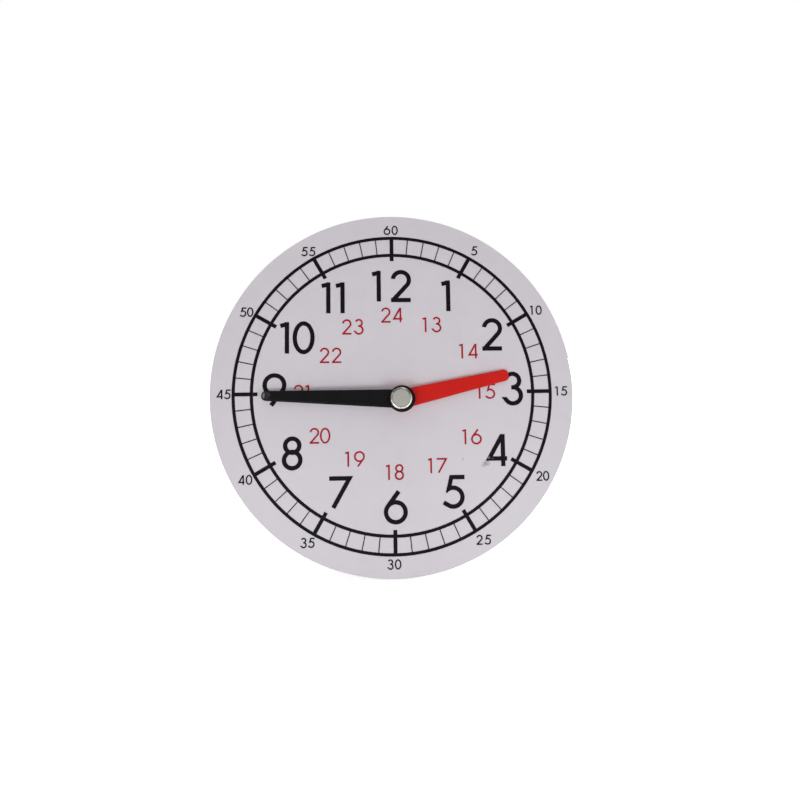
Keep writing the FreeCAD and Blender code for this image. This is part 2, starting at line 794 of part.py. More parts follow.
def draw_flatted_circle(sketch, radius, half_flats):
    """A circle with two flats square to Y, drawn as two arcs and two lines."""
    flat_end = math.asin(half_flats.value / radius.value)
    reach = radius.value * math.cos(flat_end)
    level = half_flats.value
    circle = Part.Circle(Vector(0, 0, 0), Vector(0, 0, 1), radius.value)
    sketch.addGeometry(Part.ArcOfCircle(circle, -flat_end, flat_end))
    sketch.addGeometry(Part.LineSegment(Vector(reach, level, 0), Vector(-reach, level, 0)))
    sketch.addGeometry(Part.ArcOfCircle(circle, math.pi - flat_end, math.pi + flat_end))
    sketch.addGeometry(Part.LineSegment(Vector(-reach, -level, 0), Vector(reach, -level, 0)))
    for edge in range(4):
        sketch.addConstraint(Sketcher.Constraint("Coincident", edge, 2, (edge + 1) % 4, 1))
    for arc in (0, 2):
        sketch.addConstraint(Sketcher.Constraint("Coincident", arc, 3, -1, 1))
        number = sketch.addConstraint(Sketcher.Constraint("Radius", arc, radius.value))
        sketch.setExpression(f"Constraints[{number}]", radius.text)
    for edge, place in ((1, half_flats), (3, -half_flats)):
        sketch.addConstraint(Sketcher.Constraint("Horizontal", edge))
        number = sketch.addConstraint(Sketcher.Constraint("DistanceY", -1, 1, edge, 1, place.value))
        sketch.setExpression(f"Constraints[{number}]", place.text)


def make_hour_hand():
    root_levels = (hour_boss_base, hour_boss_base + size["hour_hand_root_thickness"])
    body = make_blade("hour", root_levels, (hour_boss_base, hour_tip_top))
    round_blade(body, "hour", size["hour_tip_round"], hour_tip_top)
    add_boss(body, "hour", hour_boss_base)


def make_minute_hand():
    """Its blade slopes down from the boss, and clears the tip of the hour hand."""
    root_levels = (minute_boss_base, minute_boss_base + size["minute_hand_root_thickness"])
    tip_base = hour_tip_top + size["hand_tip_gap"]
    tip_top = tip_base + size["minute_hand_tip_thickness"]
    body = make_blade("minute", root_levels, (tip_base, tip_top))
    tip_round = size["minute_hand_tip_width"] / 2 * size["minute_tip_round_share"]
    round_blade(body, "minute", tip_round, tip_top)
    add_boss(body, "minute", minute_boss_base)
    bore_width = size["minute_pipe_diameter"] + press_gap * 2
    round_edges(
        body, "minute_boss_edge", size["minute_hand_edge_round"],
        lambda edge: lies_at(edge, minute_boss_top) and edge.BoundBox.XLength > bore_width.value + near,
    )


# Rivet and washers

def make_rivet():
    """Turned round the spindle axis, with its rear end clinched over the washer."""
    body = new_body("centre_rivet")
    profile = new_sketch(body, "rivet_profile", "XZ_Plane")
    head_radius = size["rivet_head_diameter"] / 2
    draw_polygon(profile, [
        (zero, rivet_head_top),
        (head_radius - size["rivet_head_bevel"], rivet_head_top),
        (head_radius, rivet_head_top - size["rivet_bevel_drop"]),
        (head_radius, rivet_head_base),
        (shank_radius, rivet_head_base),
        (shank_radius, rear_washer_rear),
        (size["clinch_diameter"] / 2, rear_washer_rear),
        (size["clinch_diameter"] / 2 - size["clinch_height"] / 2, clinch_rear),
        (zero, clinch_rear),
    ])
    revolve(body, "rivet_turned", profile)


def make_washers():
    ring(
        "hour_hand_washer", size["hour_washer_diameter"] / 2, hour_pipe_radius + fit_gap,
        zero, size["hour_washer_thickness"],
    )
    ring(
        "rear_washer", size["rear_washer_diameter"] / 2, shank_radius + fit_gap,
        rear_washer_rear, size["rear_washer_thickness"],
    )
    stud_washer = ring(
        "stud_washer", size["stud_washer_diameter"] / 2,
        size["intermediate_stud_diameter"] / 2 + fit_gap, stud_washer_rear, size["stud_washer_thickness"],
    )
    for part in (stud_washer.Base, stud_washer.Tool):
        part.setExpression("Placement.Base.y", (-centre_distance).text)
    body = new_body("spring_washer")
    profile = new_sketch(body, "spring_profile", "XZ_Plane")
    inner = shank_radius + fit_gap
    outer = size["spring_washer_diameter"] / 2
    thickness = size["spring_washer_thickness"]
    dish = size["spring_washer_dish"]
    draw_polygon(profile, [
        (inner, case_back - dish),
        (outer, case_back),
        (outer, case_back - thickness),
        (inner, case_back - dish - thickness),
    ])
    revolve(body, "spring_dished", profile)


# Gears, with involute teeth worked out from the module

def gear_outline(teeth, shift):
    """The toothed edge of a gear, with one tooth centred on the Y axis."""
    module = size["gear_module"].value
    pressure = math.radians(size["pressure_angle"].value)
    pitch_radius = module * teeth / 2
    base_radius = pitch_radius * math.cos(pressure)
    tip_radius = pitch_radius + module * (size["addendum_share"].value + shift)
    root_radius = pitch_radius - module * (size["dedendum_share"].value - shift)
    tooth_width = module * (math.pi / 2 + 2 * shift * math.tan(pressure) - size["backlash_share"].value)
    pitch_half_angle = tooth_width / (2 * pitch_radius)

    def half_angle(radius):
        slope = math.acos(min(1.0, base_radius / radius))
        return pitch_half_angle + math.tan(pressure) - pressure - (math.tan(slope) - slope)

    def place(radius, angle):
        return Vector(radius * math.sin(angle), radius * math.cos(angle), 0)

    flank_start = max(base_radius, root_radius)
    steps = int(size["flank_point_count"].value)
    radii = [flank_start + (tip_radius - flank_start) * step / (steps - 1) for step in range(steps)]
    edges = []
    tooth_angle = 2 * math.pi / teeth
    for tooth in range(teeth):
        middle = tooth * tooth_angle
        rising = [place(radius, middle - half_angle(radius)) for radius in radii]
        falling = [place(radius, middle + half_angle(radius)) for radius in reversed(radii)]
        if root_radius < flank_start:
            root = place(root_radius, middle - half_angle(flank_start))
            edges.append(Part.makeLine(root, rising[0]))
        for points in (rising, falling):
            curve = Part.BSplineCurve()
            curve.interpolate(points)
            edges.append(curve.toShape())
            if points is rising:
                edges.append(Part.Arc(rising[-1], place(tip_radius, middle), falling[0]).toShape())
        root_end = falling[-1]
        if root_radius < flank_start:
            root_end = place(root_radius, middle + half_angle(flank_start))
            edges.append(Part.makeLine(falling[-1], root_end))
        following = middle + tooth_angle
        next_root = place(root_radius, following - half_angle(flank_start))
        edges.append(Part.Arc(root_end, place(root_radius, middle + tooth_angle / 2), next_root).toShape())
    return Part.Wire(edges)


def toothed_disc(teeth, shift, rear, front, first_angle):
    """A gear blank between two levels, with a tooth centred at first_angle degrees from X."""
    solid = Part.Face(gear_outline(teeth, shift)).extrude(Vector(0, 0, front - rear))
    solid.rotate(Vector(0, 0, 0), Vector(0, 0, 1), first_angle - 90)
    solid.translate(Vector(0, 0, rear))
    return solid


def flatted_end(radius, flats_width, bottom, top):
    """The end of a pipe with two flats, square to Y."""
    round_end = disc(radius, bottom, top)
    corner = Vector(-2 * radius, -flats_width / 2, bottom)
    between = Part.makeBox(4 * radius, flats_width, top - bottom, corner)
    return round_end.common(between)


def make_gears():
    shift = size["profile_shift_share"].value
    pinion_teeth = int(size["minute_pinion_teeth"].value)
    wheel_teeth = int(size["intermediate_wheel_teeth"].value)
    leaf_teeth = int(size["intermediate_pinion_teeth"].value)
    hour_teeth = int(size["hour_wheel_teeth"].value)
    bore = shank_radius.value + fit_gap.value
    far = overrun.value

    # Minute pinion: the leaf that points at the stud is a whole tooth
    pinion = toothed_disc(pinion_teeth, shift, minute_pinion_rear.value, minute_pinion_front.value, -90)
    pipe = disc(minute_pipe_radius.value, minute_pinion_front.value, minute_boss_base.value)
    end = flatted_end(
        minute_pipe_radius.value, size["minute_flats_width"].value,
        minute_boss_base.value, minute_boss_top.value - face_gap.value,
    )
    end.rotate(Vector(0, 0, 0), Vector(0, 0, 1), -size["minute_hand_angle"].value)
    whole = pinion.fuse([pipe, end])
    hole = disc(bore, minute_pinion_rear.value - far, minute_boss_top.value + far)
    feature_of("minute_pinion", whole.cut(hole).removeSplitter())

    # Hour wheel: a gap faces the stud
    half_tooth = 180.0 / hour_teeth
    wheel = toothed_disc(hour_teeth, -shift, hour_wheel_rear.value, hour_wheel_front.value, -90 + half_tooth)
    hub_radius = hour_pipe_radius.value + size["pinion_hub_wall"].value
    hub = disc(hub_radius, hour_wheel_front.value, plate_rear.value - face_gap.value)
    pipe = disc(hour_pipe_radius.value, hour_wheel_front.value, hour_boss_base.value)
    end = flatted_end(
        hour_pipe_radius.value, size["hour_flats_width"].value,
        hour_boss_base.value, hour_boss_top.value - face_gap.value,
    )
    end.rotate(Vector(0, 0, 0), Vector(0, 0, 1), -size["hour_hand_angle"].value)
    wheel = cut_windows(wheel, hour_teeth, hub_radius, hour_wheel_rear.value, hour_wheel_front.value)
    whole = wheel.fuse([hub, pipe, end])
    bore = minute_pipe_radius.value + fit_gap.value
    hole = disc(bore, hour_wheel_rear.value - far, hour_boss_top.value + far)
    feature_of("hour_wheel", whole.cut(hole).removeSplitter())

    # Intermediate gear: a gap of its wheel and a leaf of its pinion face the spindle
    half_tooth = 180.0 / wheel_teeth
    wheel_rear = intermediate_rear.value
    wheel_front = intermediate_front.value
    wheel = toothed_disc(wheel_teeth, -shift, wheel_rear, wheel_front, 90 + half_tooth)
    stud_radius = size["intermediate_stud_diameter"].value / 2
    leaf_root = size["gear_module"].value * (leaf_teeth / 2 - size["dedendum_share"].value + shift)
    hub_radius = leaf_root + size["pinion_hub_wall"].value
    wheel = cut_windows(wheel, wheel_teeth, hub_radius, wheel_rear, wheel_front)
    leaves = toothed_disc(leaf_teeth, shift, wheel_front, hour_wheel_front.value, 90)
    whole = wheel.fuse([leaves])
    hole = disc(stud_radius + fit_gap.value, wheel_rear - far, hour_wheel_front.value + far)
    feature_of("intermediate_gear", whole.cut(hole).removeSplitter())


def cut_windows(wheel, teeth, hub_radius, rear, front):
    """Round lightening holes through the web of a wheel."""
    root_depth_share = size["dedendum_share"].value + size["profile_shift_share"].value
    root_radius = size["gear_module"].value * (teeth / 2 - root_depth_share)
    web_outer = root_radius - size["wheel_rim_width"].value
    web_inner = hub_radius + size["wheel_rim_width"].value / 2
    window_radius = (web_outer - web_inner) / 2
    middle = (web_outer + web_inner) / 2
    count = int(size["wheel_window_count"].value)
    far = overrun.value
    for index in range(count):
        turn = 2 * math.pi * (index + 0.5) / count
        across, along = middle * math.cos(turn), middle * math.sin(turn)
        wheel = wheel.cut(disc(window_radius, rear - far, front + far, across, along))
    return wheel


def make_stud():
    body = new_body("intermediate_stud")
    top = plate_rear + size["stud_seat_depth"] - face_gap
    bottom = case_floor - size["stud_blind_depth"] + face_gap
    outline = new_sketch(body, "stud_outline", "XY_Plane", bottom)
    draw_circle(outline, size["intermediate_stud_diameter"] / 2, stud_place)
    pad(body, "stud_pin", outline, top - bottom)


# Gear case

def make_rear_cover():
    """A shallow cup over the train, with hinge lugs for the strut on its back."""
    body = new_body("rear_cover")
    profile = new_sketch(body, "cup_profile", "XZ_Plane")
    draw_polygon(profile, [
        (shank_radius + fit_gap, case_back),
        (case_outer_radius, case_back),
        (case_outer_radius, plate_rear),
        (case_inner_radius, plate_rear),
        (case_inner_radius, case_floor),
        (size["rivet_boss_diameter"] / 2, case_floor),
        (size["rivet_boss_diameter"] / 2, rivet_boss_top),
        (shank_radius + fit_gap, rivet_boss_top),
    ])
    revolve(body, "case_cup", profile)
    round_edges(
        body, "case_corner", size["case_corner_round"],
        lambda edge: lies_at(edge, case_back) and edge.BoundBox.XLength > case_inner_radius.value,
    )
    stud_top = new_sketch(body, "stud_rest_outline", "XY_Plane", case_floor)
    draw_circle(stud_top, size["stud_washer_diameter"] / 2, stud_place)
    pad(body, "stud_rest", stud_top, stud_washer_rear - case_floor)
    stud_hole = new_sketch(body, "stud_hole_outline", "XY_Plane", case_floor - size["stud_blind_depth"])
    draw_circle(stud_hole, size["intermediate_stud_diameter"] / 2 + press_gap, stud_place)
    pocket(body, "stud_hole", stud_hole, size["stud_blind_depth"] + overrun, upward=True)
    screw_hole = new_sketch(body, "screw_hole_outline", "XY_Plane", case_back - overrun)
    draw_circle(screw_hole, size["screw_diameter"] / 2 + size["screw_hole_clearance"], first_post)
    first_hole = pocket(body, "screw_hole", screw_hole, size["case_wall"] + overrun * 2, upward=True)
    repeat_round(body, "screw_holes", [first_hole], size["screw_count"])
    inner_side = size["barrel_length"] / 2 + size["hinge_side_gap"]
    for side, start in (("right", inner_side), ("left", -inner_side - size["lug_width"])):
        lug = new_sketch(body, f"{side}_lug_outline", "YZ_Plane", plate_across + start)
        draw_lug(lug)
        pad(body, f"{side}_lug", lug, size["lug_width"])
    pin_hole = new_sketch(body, "pin_hole_outline", "YZ_Plane", plate_across)
    draw_circle(pin_hole, size["pin_diameter"] / 2 + press_gap, (hinge_up, hinge_back))
    pin_reach = (inner_side + size["lug_width"] + overrun) * 2
    pocket(body, "pin_hole", pin_hole, pin_reach, both_sides=True)


def draw_lug(sketch):
    """A lug that narrows from the case to a round end about the hinge pin."""
    reach = size["lug_reach"]
    half_base = size["lug_length"] / 2
    corners = [
        (hinge_up - reach, hinge_back),
        (hinge_up - half_base, case_back + size["case_wall"] / 2),
        (hinge_up + half_base, case_back + size["case_wall"] / 2),
        (hinge_up + reach, hinge_back),
    ]
    for index in range(3):
        start, end = corners[index], corners[index + 1]
        sketch.addGeometry(Part.LineSegment(
            Vector(start[0].value, start[1].value, 0), Vector(end[0].value, end[1].value, 0)
        ))
        fix_point(sketch, index, 1, start)
    fix_point(sketch, 2, 2, corners[3])
    middle = Vector(hinge_up.value, hinge_back.value, 0)
    circle = Part.Circle(middle, Vector(0, 0, 1), reach.value)
    sketch.addGeometry(Part.ArcOfCircle(circle, math.pi, 2 * math.pi))
    sketch.addConstraint(Sketcher.Constraint("Coincident", 0, 2, 1, 1))
    sketch.addConstraint(Sketcher.Constraint("Coincident", 1, 2, 2, 1))
    sketch.addConstraint(Sketcher.Constraint("Coincident", 2, 2, 3, 2))
    sketch.addConstraint(Sketcher.Constraint("Coincident", 3, 1, 0, 1))
    number = sketch.addConstraint(Sketcher.Constraint("DistanceY", -1, 1, 3, 3, hinge_back.value))
    sketch.setExpression(f"Constraints[{number}]", hinge_back.text)


# Cover screws

def make_screws():
    """One pan head screw with a cross recess, set once in each post."""
    body = new_body("screw_master")
    profile = new_sketch(body, "screw_profile", "XZ_Plane")
    head_base = case_back
    head_top = case_back - size["screw_head_height"]
    tip = plate_rear + size["screw_seat_depth"] - face_gap
    shank = size["screw_diameter"] / 2
    head_radius = size["screw_head_diameter"] / 2
    draw_polygon(profile, [
        (zero, head_top),
        (head_radius - size["screw_head_round"], head_top),
        (head_radius, head_top + size["screw_head_round"]),
        (head_radius, head_base),
        (shank, head_base),
        (shank, tip - shank / 2),
        (shank / 2, tip),
        (zero, tip),
    ])
    revolve(body, "screw_turned", profile)
    recess = new_sketch(body, "recess_outline", "XY_Plane", head_top - overrun)
    long_half = size["screw_recess_length"] / 2
    short_half = size["screw_recess_width"] / 2
    draw_polygon(recess, [
        (-long_half, -short_half), (-short_half, -short_half), (-short_half, -long_half),
        (short_half, -long_half), (short_half, -short_half), (long_half, -short_half),
        (long_half, short_half), (short_half, short_half), (short_half, long_half),
        (-short_half, long_half), (-short_half, short_half), (-long_half, short_half),
    ])
    pocket(body, "cross_recess", recess, size["screw_recess_depth"] + overrun, upward=True)
    doc.recompute()
    count = int(size["screw_count"].value)
    copies = []
    for index in range(count):
        turn = size["screw_angle"].value + 360 * index / count
        copy = body.Shape.copy()
        copy.Placement = Placement(
            Rotation(Vector(0, 0, 1), turn).multVec(Vector(post_circle_radius.value, 0, 0)),
            Rotation(Vector(0, 0, 1), turn),
        )
        copies.append(copy)
    feature_of("cover_screws", Part.makeCompound(copies))


# Strut, its pad and its pin, drawn with the hinge at the origin and Y up the strut

spread = size["strut_spread_angle"]
lean = size["lean_angle"]
foot_angle = spread - lean
half_thick = size["strut_thickness"] / 2
hinge_above_ground = (
    (plate_radius - plate_up + hinge_up) * cosine(lean)
    + (hinge_back + size["plate_thickness"]) * sine(lean)
)
strut_reach = (hinge_above_ground - size["foot_pad_thickness"]) / cosine(foot_angle)


def in_strut_frame(along, outward):
    """A place given from the hinge in the dial's frame, seen from the strut."""
    return (
        along * cosine(spread) + outward * sine(spread),
        outward * cosine(spread) - along * sine(spread),
    )


def foot_corner(rearward, below):
    """A corner of the foot: so far behind its middle and so far below its sole."""
    return (
        -strut_reach - rearward * sine(foot_angle) - below * cosine(foot_angle),
        below * sine(foot_angle) - rearward * cosine(foot_angle),
    )


def make_strut():
    """A panel that widens to its foot, with a hinge barrel, and a heel above the hinge
    that stops against the case when the strut stands open."""
    body = new_body("stand_strut")
    root_half = size["strut_root_width"] / 2
    foot_half = size["strut_foot_width"] / 2
    foot_top = size["strut_foot_length"] - strut_reach
    panel_end = size["strut_foot_length"] / 2 - strut_reach
    panel = new_sketch(body, "panel_outline", "XY_Plane")
    neck_end = -size["strut_neck_length"]
    draw_polygon(panel, [
        (-root_half, zero), (-root_half, neck_end), (-foot_half, foot_top), (-foot_half, panel_end),
        (foot_half, panel_end), (foot_half, foot_top), (root_half, neck_end), (root_half, zero),
    ])
    pad(body, "strut_panel", panel, size["strut_thickness"], both_sides=True)
    foot = new_sketch(body, "foot_outline", "YZ_Plane")
    half_depth = size["foot_depth"] / 2
    draw_polygon(foot, [
        (foot_top, -half_thick), foot_corner(half_depth, zero),
        foot_corner(-half_depth, zero), (foot_top, half_thick),
    ])
    pad(body, "strut_foot", foot, size["strut_foot_width"], both_sides=True)
    round_edges(
        body, "strut_side_edges", size["strut_edge_round"],
        lambda edge: abs(edge.BoundBox.XMin) > root_half.value - near
        and edge.BoundBox.YLength > foot_half.value
        and edge.BoundBox.ZLength < near,
    )
    border = size["strut_recess_border"]
    recess = new_sketch(body, "recess_outline", "XY_Plane", -half_thick)
    draw_polygon(recess, [
        (border - root_half, -size["barrel_radius"] - border),
        (border - foot_half, foot_top + border / 2),
        (foot_half - border, foot_top + border / 2),
        (root_half - border, -size["barrel_radius"] - border),
    ])
    pocket(body, "panel_recess", recess, size["strut_recess_depth"], upward=True)
    barrel = new_sketch(body, "barrel_outline", "YZ_Plane")
    draw_circle(barrel, size["barrel_radius"])
    pad(body, "hinge_barrel", barrel, size["barrel_length"], both_sides=True)
    heel = new_sketch(body, "heel_outline", "YZ_Plane")
    seat = size["hinge_standoff"] - face_gap
    heel_end = size["heel_lift"] + size["heel_height"]
    draw_polygon(heel, [
        in_strut_frame(size["heel_lift"], seat),
        in_strut_frame(heel_end, seat),
        in_strut_frame(heel_end, seat - size["strut_thickness"]),
        (zero, -half_thick),
        (zero, half_thick),
    ])
    pad(body, "strut_heel", heel, size["barrel_length"], both_sides=True)
    bore = new_sketch(body, "bore_outline", "YZ_Plane")
    draw_circle(bore, size["pin_diameter"] / 2 + size["pin_fit_clearance"])
    pocket(body, "pin_bore", bore, size["strut_foot_width"] + overrun, both_sides=True)


def make_foot_pad():
    body = new_body("strut_foot_pad")
    half_depth = size["foot_depth"] / 2 - size["foot_pad_end_inset"]
    below = size["foot_pad_thickness"]
    outline = new_sketch(body, "foot_pad_outline", "YZ_Plane")
    draw_polygon(outline, [
        foot_corner(half_depth, zero), foot_corner(half_depth, below),
        foot_corner(-half_depth, below), foot_corner(-half_depth, zero),
    ])
    width = size["strut_foot_width"] - size["foot_pad_inset"] * 2
    pad(body, "foot_pad_strip", outline, width, both_sides=True)


def make_strut_pin():
    body = new_body("strut_pin")
    outline = new_sketch(body, "strut_pin_outline", "YZ_Plane")
    draw_circle(outline, size["pin_diameter"] / 2)
    lug_side = size["barrel_length"] / 2 + size["hinge_side_gap"] + size["lug_width"]
    pad(body, "hinge_pin", outline, (lug_side + size["pin_overhang"]) * 2, both_sides=True)


# All the pieces
make_dial_plate()
make_minute_track()
hours = int(size["hour_count"].value)
minutes = int(size["minute_count"].value)
make_numerals("hour_numerals_print", "hour", range(1, hours + 1))
make_numerals("day_numerals_print", "day", range(hours + 1, 2 * hours + 1))
make_numerals("minute_numerals_print", "minute", range(minutes // hours, minutes + 1, minutes // hours))
make_hour_hand()
make_minute_hand()
make_rivet()
make_washers()
make_gears()
make_stud()
make_rear_cover()
make_screws()
make_strut()
make_foot_pad()
make_strut_pin()
doc.recompute()

# Each piece is turned to its place on the clock, then the clock is leaned back
NODES = [
    "dial_plate", "minute_track_print", "hour_numerals_print", "day_numerals_print",
    "minute_numerals_print", "hour_hand_washer", "hour_hand", "minute_hand", "centre_rivet",
    "hour_wheel", "minute_pinion", "intermediate_stud", "intermediate_gear", "stud_washer",
    "rear_cover", "cover_screws", "spring_washer", "rear_washer",
    "strut_pin", "stand_strut", "strut_foot_pad",
]
parts = {name: doc.getObjectsByLabel(name)[0] for name in NODES}

across = Vector(1, 0, 0)
forward = Vector(0, 0, 1)
hinge = Vector(plate_across.value, hinge_up.value, hinge_back.value)
plate_middle = Placement(Vector(plate_across.value, plate_up.value, 0), Rotation())
open_strut = Placement(hinge, Rotation(across, spread.value))
on_clock = {
    "minute_track_print": plate_middle,
    "hour_numerals_print": plate_middle,
    "day_numerals_print": plate_middle,
    "minute_numerals_print": plate_middle,
    "intermediate_gear": Placement(Vector(0, -centre_distance.value, 0), Rotation()),
    "hour_hand": Placement(Vector(), Rotation(forward, -size["hour_hand_angle"].value)),
    "minute_hand": Placement(Vector(), Rotation(forward, -size["minute_hand_angle"].value)),
    "stand_strut": open_strut,
    "strut_foot_pad": open_strut,
    "strut_pin": Placement(hinge, Rotation()),
}
leaning = Placement(Vector(), Rotation(across, 90 - lean.value))
for name, part in parts.items():
    part.Placement = leaning * on_clock.get(name, Placement())
doc.recompute()

# The origin lies on the ground under the middle of the clock
bounds = Part.makeCompound([part.Shape for part in parts.values()]).optimalBoundingBox(False)
standing = Placement(Vector(-bounds.Center.x, -bounds.Center.y, -bounds.ZMin), Rotation())
for part in parts.values():
    part.Placement = standing * part.Placement
doc.recompute()

for item in doc.Objects:
    if any(word in item.State for word in ("Invalid", "Error")):
        raise RuntimeError(f"{item.Label} failed: {item.State}")
for name, part in parts.items():
    if part.Shape.isNull() or not part.Shape.isValid():
        raise RuntimeError(f"{name} has no valid shape")

os.makedirs("parts", exist_ok=True)
for name, part in parts.items():
    part.Shape.exportStep(f"parts/{name}.step")
    box = part.Shape.BoundBox
    print(f"{name}: {len(part.Shape.Solids)} solid, {part.Shape.Volume:.2f} mm3, "
          f"{box.XLength:.2f} x {box.YLength:.2f} x {box.ZLength:.2f}")
for name, place in (("spindle", Vector()), ("stud", Vector(0, -centre_distance.value, 0)), ("hinge", hinge)):
    print(f"{name} at {(standing * leaning).multVec(place)}")
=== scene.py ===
import json
import math

import bmesh
import bpy
from mathutils import Matrix, Vector


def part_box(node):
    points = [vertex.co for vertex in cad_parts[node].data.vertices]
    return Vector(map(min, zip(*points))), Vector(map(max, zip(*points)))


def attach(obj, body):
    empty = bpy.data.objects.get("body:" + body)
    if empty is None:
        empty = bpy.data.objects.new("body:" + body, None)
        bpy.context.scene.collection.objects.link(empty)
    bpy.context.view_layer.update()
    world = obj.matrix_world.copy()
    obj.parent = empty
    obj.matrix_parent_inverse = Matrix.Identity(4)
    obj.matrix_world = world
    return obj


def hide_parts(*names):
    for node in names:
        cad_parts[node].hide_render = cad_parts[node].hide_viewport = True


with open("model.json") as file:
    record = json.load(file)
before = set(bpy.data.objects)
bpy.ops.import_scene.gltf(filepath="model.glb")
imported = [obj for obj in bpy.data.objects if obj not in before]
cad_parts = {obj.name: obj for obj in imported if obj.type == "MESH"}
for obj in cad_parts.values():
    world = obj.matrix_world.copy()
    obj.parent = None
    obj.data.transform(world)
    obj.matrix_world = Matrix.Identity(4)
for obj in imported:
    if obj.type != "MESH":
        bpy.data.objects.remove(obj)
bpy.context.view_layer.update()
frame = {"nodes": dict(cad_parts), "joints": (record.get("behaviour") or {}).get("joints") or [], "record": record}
scene = bpy.context.scene

MM = 0.001

# The dial's own directions and middle, from the frame

spin = next(joint for joint in frame["joints"] if joint["name"] == "minute_spin")
spindle = Vector(spin["pos_m"])
dial_out = Vector(spin["axis"]).normalized()
dial_right = Vector((1, 0, 0))
dial_up = dial_out.cross(dial_right)
print_low, print_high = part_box("minute_track_print")
dial_middle = (print_low + print_high) / 2


def on_dial(right, up, out=0.0):
    """A place given from the middle of the dial along its own directions."""
    return dial_middle + dial_right * right + dial_up * up + dial_out * out


# Camera, placed about the middle of the dial as in the photograph

CAMERA_AZIMUTH = -1.88
CAMERA_ELEVATION = -4.01
CAMERA_ROLL = -0.77
CAMERA_DISTANCE = 137.8 * MM
CAMERA_FOCAL_PIXELS = 455.8
PHOTO_PIXELS = 800
PHOTO_MIDDLE = (393.45, 392.8)
VIEW_NEAR = 10 * MM
VIEW_FAR = 100


def make_camera():
    data = bpy.data.cameras.new("camera")
    camera = bpy.data.objects.new("camera", data)
    scene.collection.objects.link(camera)
    turn = math.radians(CAMERA_AZIMUTH)
    rise = math.radians(CAMERA_ELEVATION)
    roll = math.radians(CAMERA_ROLL)
    away = (
        dial_right * (math.sin(turn) * math.cos(rise))
        + dial_up * math.sin(rise)
        + dial_out * (math.cos(turn) * math.cos(rise))
    )
    right = (-away).cross(dial_up).normalized()
    up = right.cross(-away)
    rolled_right = right * math.cos(roll) + up * math.sin(roll)
    rolled_up = up * math.cos(roll) - right * math.sin(roll)
    turned = Matrix((rolled_right, rolled_up, away)).transposed().to_4x4()
    camera.matrix_world = Matrix.Translation(dial_middle + away * CAMERA_DISTANCE) @ turned
    data.lens = CAMERA_FOCAL_PIXELS / PHOTO_PIXELS * data.sensor_width
    data.shift_x = 0.5 - PHOTO_MIDDLE[0] / PHOTO_PIXELS
    data.shift_y = PHOTO_MIDDLE[1] / PHOTO_PIXELS - 0.5
    data.clip_start = VIEW_NEAR
    data.clip_end = VIEW_FAR
    scene.camera = camera


# The rivet: a pressed cap with a rounded bright rim, set a little off its shank

CAP_RADIUS = 3.15 * MM
CAP_FACE_RADIUS = 2.62 * MM
CAP_GROOVE_WIDTH = 0.1 * MM
CAP_GROOVE_DEPTH = 0.06 * MM
CAP_RIM_DROP = 0.42 * MM
CAP_RIM_STEPS = 8
CAP_SHIFT = (-0.32 * MM, 0.06 * MM)
CAP_SHARP_ANGLE = 35
TURNED_STEPS = 96
LEVEL_PLACES = 2


def rivet_levels():
    """The rivet's levels along the spindle, and its radii, read from its CAD node."""
    levels = {}
    radii = []
    for corner in frame["nodes"]["centre_rivet"].data.vertices:
        offset = corner.co - spindle
        level = offset.dot(dial_out)
        radius = (offset - dial_out * level).length
        radii.append(radius)
        step = round(level / MM, LEVEL_PLACES)
        levels[step] = max(radius, levels.get(step, 0.0))
    order = sorted(levels)
    middle = (order[0] + order[-1]) / 2
    wide = [level for level in order if levels[level] > CAP_FACE_RADIUS / 2]
    cap = [level for level in wide if level > middle]
    tail = [level for level in wide if level < middle]
    return {
        "top": cap[-1] * MM,
        "base": cap[0] * MM,
        "tail_face": tail[-1] * MM,
        "tail_radius": levels[tail[-1]],
        "rear": order[0] * MM,
        "rear_radius": levels[order[0]],
        "shank_radius": min(radius for radius in radii if radius > CAP_FACE_RADIUS / 4),
    }


def make_cap_profile(levels):
    """Radius, level and share of the cap's sideways shift, from the top round to the rear."""
    top = levels["top"]
    face = CAP_FACE_RADIUS
    profile = [
        (0.0, top, 1),
        (face, top, 1),
        (face + CAP_GROOVE_WIDTH / 2, top - CAP_GROOVE_DEPTH, 1),
        (face + CAP_GROOVE_WIDTH, top, 1),
    ]
    rim_start = face + CAP_GROOVE_WIDTH
    for step in range(1, CAP_RIM_STEPS + 1):
        turn = math.pi / 2 * step / CAP_RIM_STEPS
        reach = (CAP_RADIUS - rim_start) * math.sin(turn)
        profile.append((rim_start + reach, top - CAP_RIM_DROP * (1 - math.cos(turn)), 1))
    profile += [
        (CAP_RADIUS, levels["base"], 1),
        (levels["shank_radius"], levels["base"], 0),
        (levels["shank_radius"], levels["tail_face"], 0),
        (levels["tail_radius"], levels["tail_face"], 0),
        (levels["rear_radius"], levels["rear"], 0),
        (0.0, levels["rear"], 0),
    ]
    return profile


